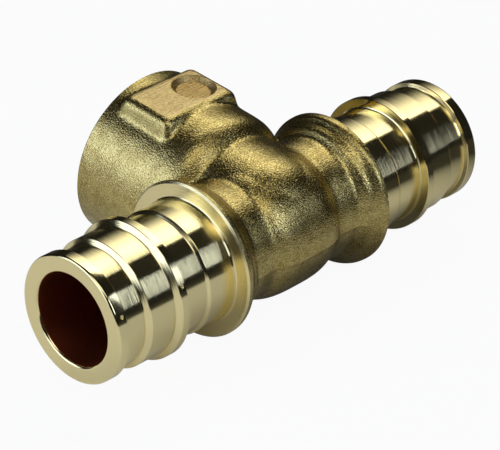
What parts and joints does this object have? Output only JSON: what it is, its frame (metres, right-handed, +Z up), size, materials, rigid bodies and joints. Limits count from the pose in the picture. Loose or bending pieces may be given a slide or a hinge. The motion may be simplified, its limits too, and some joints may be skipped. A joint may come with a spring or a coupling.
{
  "type": "threaded tee",
  "caption": "Forged brass tee: two ribbed, collared spigots for expanded tube in line, and an internally threaded side branch with flat spanner pads.",
  "frame": {"origin": "where the axis of the straight run crosses the axis of the threaded branch, in the middle of the run's bore", "axes": "+X along the straight run, +Y out of the threaded branch's mouth, +Z up through the pad with the round recess; the forging's parting plane is XY"},
  "size_m": [0.0818, 0.0401, 0.0292],
  "materials": {
    "brass": "forged and shot-blasted body, bright turned spigots"
  },
  "bodies": {
    "root": {"tee_body": "brass"}
  },
  "joints": []
}
